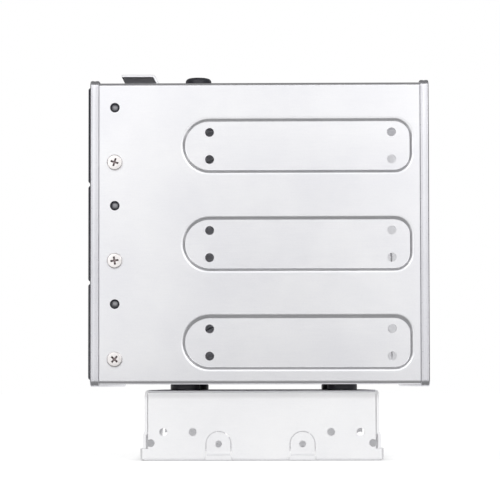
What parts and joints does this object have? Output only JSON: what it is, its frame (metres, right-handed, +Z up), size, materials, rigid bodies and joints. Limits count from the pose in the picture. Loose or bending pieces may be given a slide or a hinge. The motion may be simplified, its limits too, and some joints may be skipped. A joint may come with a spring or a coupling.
{
  "type": "hard drive cage",
  "caption": "Open-backed drive cage of folded steel sheet with pressed side recesses, black bay covers, roof hooks and a rubber-mounted pedestal with fixing tabs.",
  "frame": {"origin": "on the ground, under the middle of the whole cage's bounding box", "axes": "+Z up; -X is the front with the bay covers, +X is the open rear; the side panels face -Y and +Y"},
  "size_m": [0.1484, 0.1542, 0.1696],
  "materials": {
    "cage_steel": "satin zinc-plated cold-rolled sheet",
    "frame_steel": "satin zinc-plated cold-rolled sheet, drawn",
    "pedestal_steel": "satin zinc-plated cold-rolled sheet, bright",
    "cover_paint": "fine satin black paint",
    "screw_nickel": "nickel plate",
    "rubber": "matt moulded rubber"
  },
  "bodies": {
    "root": {"cage_wrap": "cage_steel", "floor_plate": "cage_steel", "front_frame": "frame_steel", "rear_frame": "frame_steel", "bay_cover_lower": "cover_paint", "bay_cover_middle": "cover_paint", "bay_cover_upper": "cover_paint", "cover_screws": "screw_nickel", "grommet_screws": "screw_nickel", "roof_bumper_near": "rubber", "roof_bumper_far": "rubber", "grommet_front_near": "rubber", "grommet_front_far": "rubber", "grommet_rear_near": "rubber", "grommet_rear_far": "rubber", "pedestal": "pedestal_steel"}
  },
  "joints": []
}
